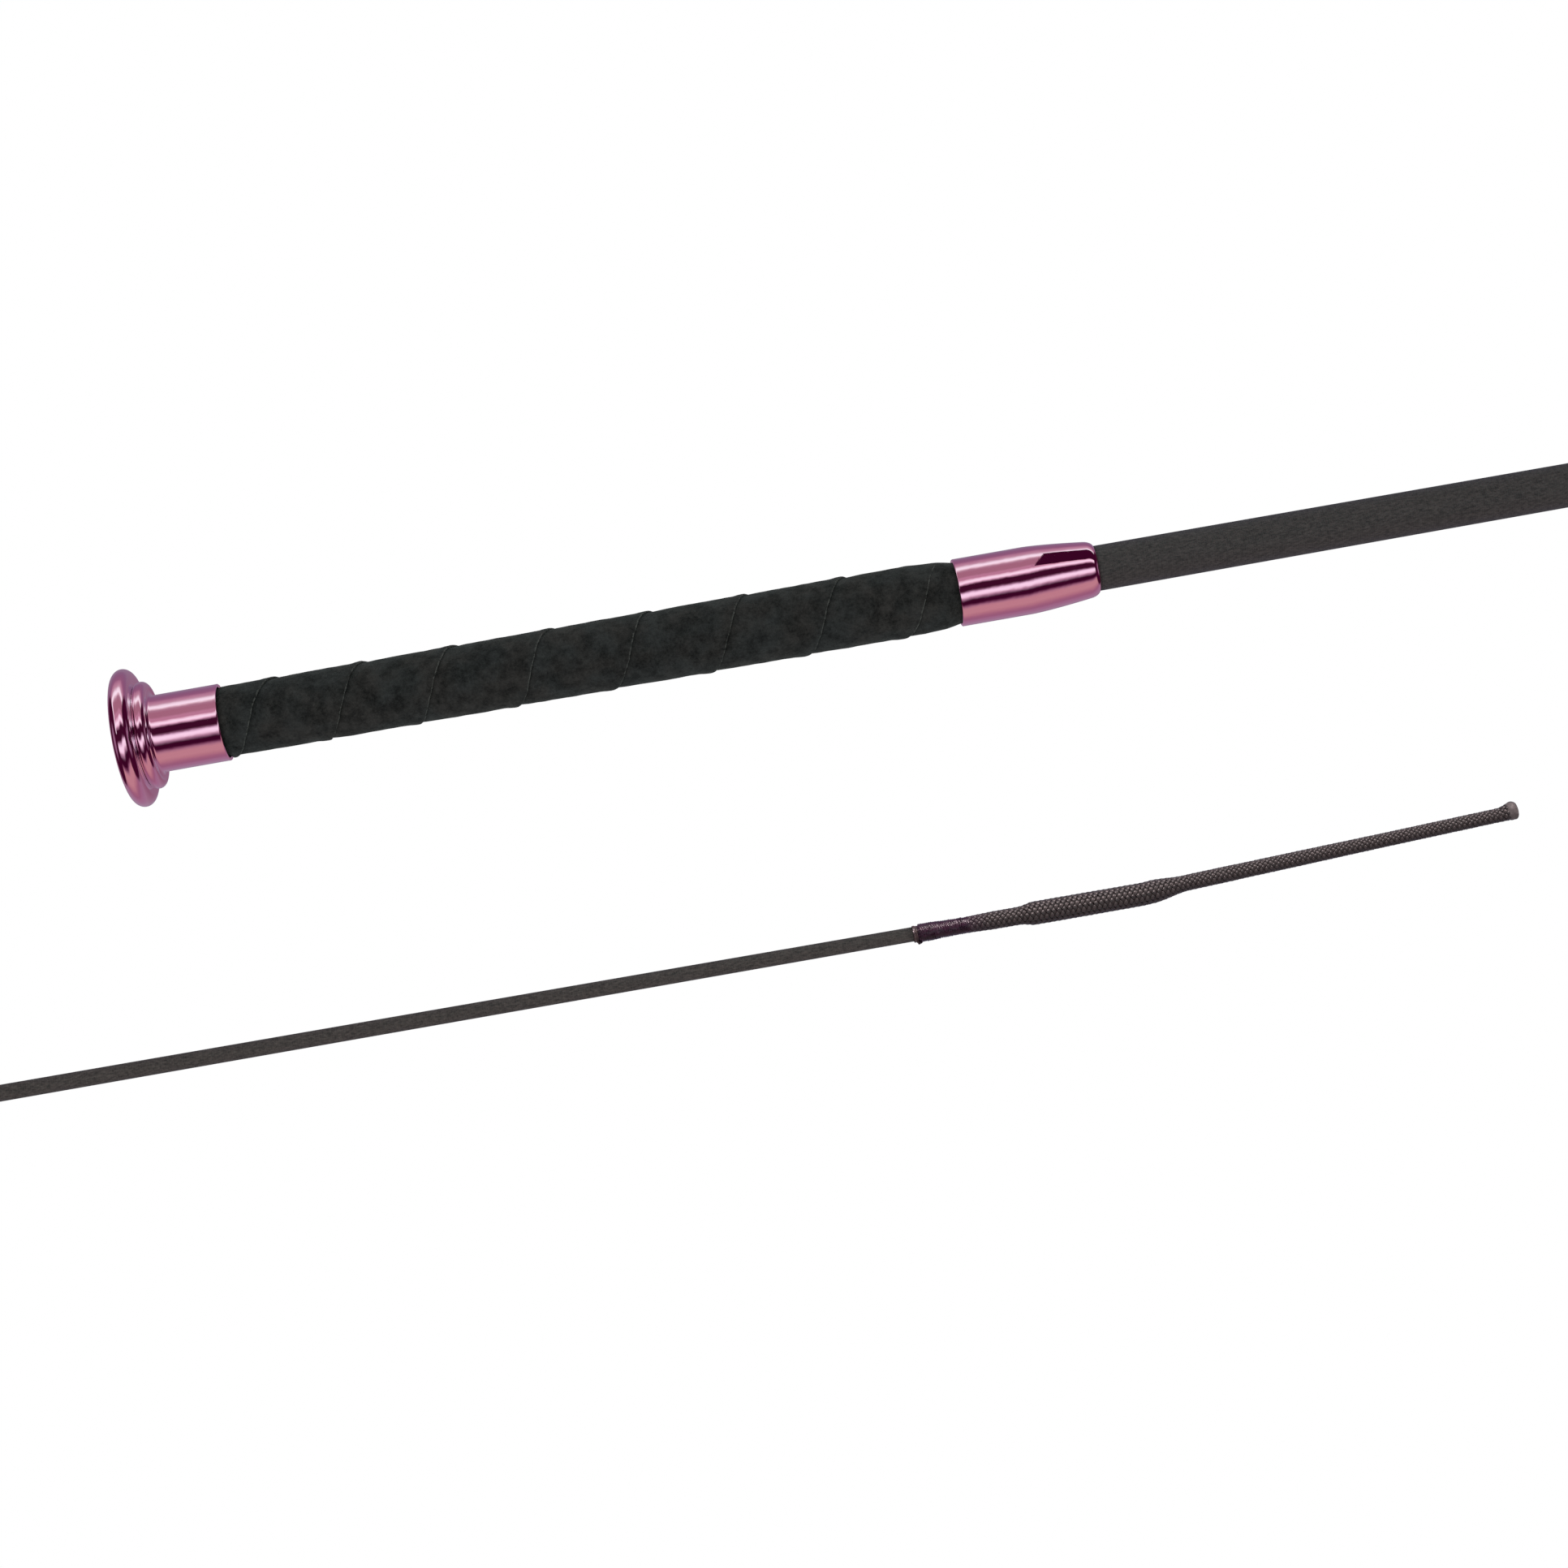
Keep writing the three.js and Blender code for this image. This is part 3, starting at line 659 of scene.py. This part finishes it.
def lash_length(name, start, end, cord):
    """One length of the round braid: eight strands each way, going over one and under one in turn."""
    step = 0.1
    first, last = int(round(start / step)), int(round(end / step))
    s = np.arange(first - 2, last + 3) * step
    keep = slice(2, len(s) - 2)
    rows = last - first + 1
    centre, side, up = lash_frame(s)
    outer = lash_radius(s)
    turn = BRAID_TURN * s
    lift = STRAND_THICKNESS * 0.5
    middle = outer - lift - STRAND_THICKNESS / 2
    slope = BRAID_TURN * outer
    width = TAU * outer / CARRIERS / np.sqrt(1 + slope**2) * 0.49
    corners = 8
    points, faces, strand, crown = [], [], [], []
    for way in (1, -1):
        over = way * np.cos(CARRIERS * turn)
        over = np.tanh(1.3 * over) / math.tanh(1.3)
        for i in range(CARRIERS):
            number = i + (CARRIERS if way < 0 else 0)
            swell = 1 + 0.05 * np.sin(s * 2.3 + number * 1.7) + 0.04 * np.sin(s * 5.1 + number * 2.9)
            angle = way * turn + TAU * i / CARRIERS
            radial = side * np.sin(angle)[:, None] + up * np.cos(angle)[:, None]
            path = centre + radial * (middle + lift * over)[:, None]
            tangent = unit(np.gradient(path, axis=0))
            across = unit(np.cross(tangent, radial))
            outward = np.cross(across, tangent)
            rings, ring = tube_along(
                path[keep],
                across[keep],
                outward[keep],
                (width * swell)[keep],
                (STRAND_THICKNESS / 2 * swell)[keep],
                corners,
            )
            base = sum(len(p) for p in points)
            points.append(rings)
            faces.append(grid_faces(rows, corners, start=base))
            lengthways = np.repeat(s[keep] * 1.6, corners)
            strand.append(np.stack([lengthways, np.tile(ring, rows), np.full(len(rings), float(number))], -1))
            # crown is high on a strand's outside where it passes over; the cord material paints shade where it
            # is low.
            height = np.tile(np.sin(ring), rows) * 0.5 + 0.5
            crown.append(height * np.repeat(0.5 + 0.5 * over[keep], corners))
    angles = np.arange(24) * TAU / 24
    filler = np.maximum(outer[keep] - 1.7 * STRAND_THICKNESS, 0.3)
    spoke = spokes(side[keep], up[keep], angles)
    filling = (centre[keep, None, :] + spoke * filler[:, None, None]).reshape(-1, 3)
    faces.append(grid_faces(rows, len(angles), start=sum(len(p) for p in points)))
    points.append(filling)
    strand.append(np.zeros(filling.shape))
    # The filling has crown 0, so the cord material paints it wholly in shade between the strands.
    crown.append(np.zeros(len(filling)))
    made = add_mesh(
        name,
        np.concatenate(points),
        np.concatenate(faces),
        cord,
        {"strand": np.concatenate(strand), "crown": np.concatenate(crown)},
    )
    return made


def melted_end(material):
    """The end where the strands are melted together: flared, lifted at the top, cut off nearly flat."""
    sides = 56
    steps = np.linspace(0, 9, 46)
    s = through([1097.4, 1097.7, 1098.1, 1098.5, 1098.9, 1099.25, 1099.55, 1099.8, 1099.93, 1099.98], steps)
    high = through([1.20, 1.55, 1.78, 1.92, 1.95, 1.85, 1.67, 1.42, 1.05, 0.60], steps)
    low = through([1.20, 1.50, 1.72, 1.84, 1.88, 1.88, 1.83, 1.66, 1.25, 0.65], steps)
    centre, side, up = lash_frame(s)
    angles = np.arange(sides) * TAU / sides
    top = smoothstep(-0.4, 1.0, np.cos(angles))
    r = low[:, None] + (high - low)[:, None] * top[None, :]
    turn = angles[None, :]
    lumps = 0.020 * np.sin(3 * turn + 2 * s[:, None]) + 0.018 * np.sin(7 * turn - 5 * s[:, None])
    r = r * (1 + lumps)
    points = (centre[:, None, :] + spokes(side, up, angles) * r[..., None]).reshape(-1, 3)
    count = len(points)
    points = np.concatenate([points, centre[-1:] + [[0.02, 0, 0]], centre[:1]])
    last_row = (len(s) - 1) * sides
    faces = grid_faces(len(s), sides).tolist()
    faces += [[last_row + (k + 1) % sides, last_row + k, count] for k in range(sides)]
    faces += [[k, (k + 1) % sides, count + 1] for k in range(sides)]
    around = np.concatenate([np.tile(angles, len(s)), [0, 0]])
    strand = np.stack([points[:, 0], around, np.full(count + 2, 9.0)], -1)
    made = add_mesh(
        "lash_melted_end", points, faces, material, {"strand": strand, "crown": np.full(len(points), 1.0)}
    )
    return made


def lash_pieces(cord, melted):
    hinges = [LASH_HINGE_X + LASH_PITCH * k for k in range(6)]
    cuts = [h - LASH_PITCH / 2 for h in hinges] + [hinges[-1] + LASH_PITCH / 2]
    socket = lash_length("lash_braid_socket", BINDING_END_X - 0.2, cuts[0], cord)
    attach(socket, "shaft_13")
    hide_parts("lash_socket")
    made = [socket]
    for k in range(6):
        piece = lash_length(f"lash_braid_{k + 1}", cuts[k], cuts[k + 1], cord)
        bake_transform(piece)
        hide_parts(f"lash_link_{k + 1}")
        made.append(piece)
    last = lash_length("lash_braid_end", cuts[-1], 1098.9, cord)
    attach(last, "lash_6")
    blob = melted_end(melted)
    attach(blob, "lash_6")
    return made + [last, blob]


# ---- studio ----

# Light that the chrome mirrors, as (degrees, red, green, blue). The angle is the one at which a ray leaves
# the whip: 0 towards the camera's side, 90 straight up, -90 straight down.
BANDS_ABOVE = [
    (0, 0.08, 0.04, 0.08),
    (1.5, 0.055, 0.010, 0.045),
    (17, 0.055, 0.010, 0.045),
    (21, 0.45, 0.50, 0.60),
    (25, 1.10, 1.70, 1.65),
    (29, 1.23, 2.30, 2.10),
    (34, 1.00, 1.50, 1.45),
    (38, 0.60, 0.60, 0.70),
    (44, 0.60, 0.60, 0.70),
    (50, 0.45, 0.42, 0.48),
    (65, 0.45, 0.42, 0.48),
    (72, 0.52, 0.60, 0.65),
    (77, 0.90, 1.45, 1.30),
    (82, 1.20, 2.40, 2.10),
    (88, 1.10, 2.10, 1.85),
    (95, 0.68, 0.95, 0.95),
    (100, 0.60, 0.68, 0.76),
    (108, 0.50, 0.50, 0.62),
    (115, 0.35, 0.30, 0.45),
    (125, 0.31, 0.27, 0.42),
    (140, 0.29, 0.27, 0.42),
    (150, 0.32, 0.33, 0.45),
    (180, 0.32, 0.22, 0.33),
]
BANDS_BELOW = [
    (-180, 0.32, 0.22, 0.33),
    (-150, 0.42, 0.44, 0.56),
    (-136, 0.41, 0.41, 0.56),
    (-125, 0.42, 0.39, 0.54),
    (-115, 0.38, 0.32, 0.45),
    (-105, 0.43, 0.36, 0.46),
    (-97, 0.51, 0.46, 0.51),
    (-90, 0.57, 0.55, 0.54),
    (-82, 0.63, 0.64, 0.60),
    (-65, 0.63, 0.64, 0.60),
    (-59, 0.52, 0.52, 0.56),
    (-54, 0.30, 0.25, 0.34),
    (-50, 0.14, 0.06, 0.14),
    (-46, 0.05, 0.005, 0.04),
    (-36, 0.05, 0.005, 0.04),
    (-33, 0.12, 0.10, 0.15),
    (-28, 0.40, 0.45, 0.55),
    (-24, 0.70, 0.95, 1.00),
    (-20, 1.10, 1.80, 1.75),
    (-16, 1.20, 2.10, 2.00),
    (-12, 1.20, 2.10, 2.00),
    (-8, 0.90, 1.40, 1.45),
    (-4, 0.32, 0.32, 0.43),
    (0, 0.08, 0.04, 0.08),
]
# The studio past the ends of those lights, as (degrees towards +X, red, green, blue, how much it covers).
STUDIO_ENDS = [
    (-90, 0.36, 0.36, 0.50, 1),
    (-80, 0.36, 0.36, 0.50, 1),
    (-72, 0.06, 0.006, 0.045, 1),
    (-52, 0.06, 0.006, 0.045, 1),
    (-46, 0.06, 0.006, 0.045, 0),
    (48, 0.06, 0.006, 0.045, 0),
    (54, 0.06, 0.006, 0.045, 1),
    (72, 0.06, 0.006, 0.045, 1),
    (80, 0.36, 0.36, 0.50, 1),
]
BAND_TOP = 2.5
# The lights are close by, so they seem to stand higher for a ray that leans towards +X: degrees higher for
# each degree of lean, and the lean at which that stops.
NEARER_LIGHTS = 0.45
NEARER_UP_TO = 22.0
WINDOW_LIGHT = (1.15, 2.2, 2.0, 1)


def light_ramp(tree, place, stops, low, high):
    """Colour ramp over an angle; levels are stored as shares of the brightest one."""
    ramp = node(tree, "ShaderNodeValToRGB", {0: remap(tree, place, low, high)})
    elements = ramp.color_ramp.elements
    while len(elements) > 1:
        elements.remove(elements[-1])
    for k, (degrees, red, green, blue, *cover) in enumerate(stops):
        position = (degrees - low) / (high - low)
        stop = elements[0] if k == 0 else elements.new(position)
        stop.position = position
        stop.color = (red / BAND_TOP, green / BAND_TOP, blue / BAND_TOP, cover[0] if cover else 1)
    return ramp.outputs


def between(tree, value, low, high, soft):
    """1 between low and high, falling to 0 over the soft distance outside."""
    rise = remap(tree, value, low - soft, low)
    return maths(tree, "MULTIPLY", rise, remap(tree, value, high, high + soft, 1.0, 0.0))


def build_world():
    world = bpy.data.worlds.new("studio")
    bpy.context.scene.world = world
    world.use_nodes = True
    world.cycles.sampling_method = "NONE"
    tree = world.node_tree
    tree.nodes.clear()
    ray = node(tree, "ShaderNodeTexCoord").outputs["Generated"]
    parts = node(tree, "ShaderNodeSeparateXYZ", {0: ray})
    front = maths(tree, "MULTIPLY", parts.outputs[1], -1.0)
    lift = maths(tree, "DEGREES", maths(tree, "ARCTAN2", parts.outputs[2], front))
    along = maths(tree, "DEGREES", maths(tree, "ARCSINE", parts.outputs[0]))
    leaning = maths(tree, "MINIMUM", maths(tree, "MAXIMUM", along, 0.0), NEARER_UP_TO)
    nearer = maths(tree, "MULTIPLY", leaning, NEARER_LIGHTS)
    band = maths(tree, "SUBTRACT", lift, nearer)
    above = light_ramp(tree, band, BANDS_ABOVE, 0, 180)[0]
    below = light_ramp(tree, band, BANDS_BELOW, -180, 0)[0]
    bands = mix_colour(tree, maths(tree, "GREATER_THAN", band, 0.0), below, above)
    frame_post = maths(tree, "MULTIPLY", between(tree, along, -46, -41, 2), between(tree, lift, 16, 86, 3))
    bands = mix_colour(tree, frame_post, bands, tuple(c / BAND_TOP for c in WINDOW_LIGHT[:3]) + (1,))
    ends, cover = light_ramp(tree, along, STUDIO_ENDS, -90, 90)
    bands = mix_colour(tree, cover, bands, ends)
    mirrored = node(tree, "ShaderNodeBackground", {0: bands, 1: BAND_TOP})
    tilt = maths(tree, "MULTIPLY", parts.outputs[2], 0.05)
    soft = node(tree, "ShaderNodeBackground", {0: grey(1.0), 1: maths(tree, "ADD", tilt, 1.0)})
    white = node(tree, "ShaderNodeBackground", {0: grey(1.0), 1: 1.0})
    path = node(tree, "ShaderNodeLightPath")
    glossy, camera = path.outputs["Is Glossy Ray"], path.outputs["Is Camera Ray"]
    lit = node(tree, "ShaderNodeMixShader", {0: glossy, 1: soft.outputs[0], 2: mirrored.outputs[0]})
    seen = node(tree, "ShaderNodeMixShader", {0: camera, 1: lit.outputs[0], 2: white.outputs[0]})
    node(tree, "ShaderNodeOutputWorld", {0: seen.outputs[0]})


def glowing_sheet(name, corners, colour):
    """A flat sheet of even light, kept out of the part itself."""
    material = bpy.data.materials.new(name)
    material.use_nodes = True
    tree = material.node_tree
    tree.nodes.clear()
    glow = node(tree, "ShaderNodeEmission", {0: colour, 1: 1.0})
    node(tree, "ShaderNodeOutputMaterial", {0: glow.outputs[0]})
    sheet = add_mesh(name, corners, [(0, 1, 2, 3)], material)
    sheet.visible_diffuse = False
    sheet.visible_shadow = False
    return sheet


def build_floor():
    far, drop = 40000.0, -210.0
    corners = [(-far, -far, drop), (far, -far, drop), (far, far, drop), (-far, far, drop)]
    glowing_sheet("white_floor", corners, grey(1.0)).visible_glossy = False


def build_dark_card():
    """A card over the shaft that the chrome mirrors as the dark patch on the ferrule's cone."""
    low, high = (-125.0, 129.5), (6.3, 179.9)
    corners = [(225.0, *low), (900.0, *low), (900.0, *high), (232.0, *high)]
    glowing_sheet("dark_card", corners, (0.05, 0.005, 0.04, 1)).visible_camera = False


def build_top_light(lit):
    """A soft light overhead that only the cord and the thread catch; the chrome has its own studio."""
    data = bpy.data.lights.new("top_light", "SUN")
    data.energy = 5.0
    data.angle = math.radians(18)
    light = bpy.data.objects.new("top_light", data)
    bpy.context.scene.collection.objects.link(light)
    light.rotation_euler = Vector((0.05, -0.46, 0.88)).to_track_quat("Z", "Y").to_euler()
    receivers = bpy.data.collections.new("lit_by_top_light")
    for piece in lit:
        receivers.objects.link(piece)
    light.light_linking.receiver_collection = receivers


# ---- camera ----

CAMERA_AT = Vector((118.0, -586.0, 0.0)) * MM
CAMERA_YAW = math.radians(1.3678)
CAMERA_PITCH = math.radians(-3.1816)
CAMERA_ROLL = math.radians(9.9969)
CAMERA_LENS = 65.289
SENSOR = 36.0


def build_camera():
    data = bpy.data.cameras.new("camera")
    data.lens = CAMERA_LENS
    data.sensor_width = SENSOR
    data.clip_start = 0.001
    data.clip_end = 200.0
    camera = bpy.data.objects.new("camera", data)
    bpy.context.scene.collection.objects.link(camera)
    turn = Matrix.Rotation(-CAMERA_YAW, 4, "Z") @ Matrix.Rotation(CAMERA_PITCH, 4, "X")
    turn = turn @ Matrix.Rotation(CAMERA_ROLL, 4, "Y") @ Matrix.Rotation(math.pi / 2, 4, "X")
    camera.matrix_world = Matrix.Translation(CAMERA_AT) @ turn
    bpy.context.scene.camera = camera
    return camera


# The picture is a montage: under a slanting line it shows the lash end of the same whip. A small pane
# close to the camera passes the lower rays on to where that end lies.
PANE_SHIFT = Vector((820.3368, 7.3938, 67.0291)) * MM
PANE_ROLL = math.radians(-0.2783)
PANE_DISTANCE = 5.0
PANE_CORNERS = [(-0.54, -0.54), (0.54, -0.54), (0.54, 0.088), (-0.54, -0.092)]


def build_pane(camera):
    material = bpy.data.materials.new("montage_pane")
    material.use_nodes = True
    tree = material.node_tree
    tree.nodes.clear()
    geometry = node(tree, "ShaderNodeNewGeometry")
    here, ray_back = geometry.outputs["Position"], geometry.outputs["Incoming"]
    there = node(tree, "ShaderNodeVectorMath", {0: here, 1: PANE_SHIFT}, operation="ADD").outputs[0]
    onward = node(
        tree, "ShaderNodeVectorMath", {0: ray_back, 1: (-1, -1, -1)}, operation="MULTIPLY"
    ).outputs[0]
    view = camera.matrix_world.to_3x3() @ Vector((0, 0, -1))
    turned = node(
        tree, "ShaderNodeVectorRotate", {"Vector": onward, "Axis": view, "Angle": PANE_ROLL}
    ).outputs[0]
    portal = node(tree, "ShaderNodeBsdfRayPortal", {"Position": there, "Direction": turned})
    node(tree, "ShaderNodeOutputMaterial", {0: portal.outputs[0]})
    reach = PANE_DISTANCE * SENSOR / CAMERA_LENS
    corners = [(x * reach, y * reach, -PANE_DISTANCE) for x, y in PANE_CORNERS]
    pane = add_mesh("montage_pane", corners, [(0, 1, 2, 3)], material)
    pane.matrix_world = camera.matrix_world.copy()
    pane.visible_diffuse = False
    pane.visible_glossy = False
    pane.visible_transmission = False
    pane.visible_shadow = False


# ---- assembly ----

chrome = pink_chrome()
nap = suede()
plait = shaft_cover()
cord = lash_cord("lash_cord", (0.011, 0.0068, 0.0070, 1), (0.044, 0.0315, 0.0310, 1), 0.34, 0.42, wax_end=989.0)
melted = lash_cord("melted_cord", (0.056, 0.043, 0.044, 1), (0.092, 0.073, 0.073, 1), 0.5, 0.2)
waxed = waxed_thread()
black_plastic = plain_finish("black_plastic", grey(0.008), grey(0.016), 0.55)
grip_rubber = plain_finish("grip_rubber", grey(0.014), grey(0.026), 0.8)
glass_fibre = plain_finish("glass_fibre", (0.42, 0.38, 0.26, 1), (0.55, 0.52, 0.40, 1), 0.45)
hidden_finish = {
    "butt_cap_plug": black_plastic,
    "ferrule_bush": black_plastic,
    "grip_core": grip_rubber,
    "lash_tail": grip_rubber,
}
for name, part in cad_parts.items():
    part.data.materials.clear()
    part.data.materials.append(hidden_finish.get(name, glass_fibre))

for build, nodes, slot_name, finish in (
    (cap_head, ["butt_cap_head"], "pink_chrome", chrome),
    (cap_neck, ["butt_cap_neck"], "pink_chrome", chrome),
    (suede_strip, ["grip_wrap"], "suede_wrap", nap),
    (ferrule_shell, ["ferrule_sleeve"], "pink_chrome", chrome),
):
    piece = build(finish)
    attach(piece, "handle")
    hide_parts(*nodes)
shaft_pieces(plait)
cords = binding_coils(waxed) + lash_pieces(cord, melted)

build_world()
build_floor()
build_dark_card()
build_top_light(cords)
build_pane(build_camera())
scene = bpy.context.scene
scene.view_settings.view_transform = "Standard"
scene.view_settings.look = "None"
scene.view_settings.exposure = 0
scene.view_settings.gamma = 1
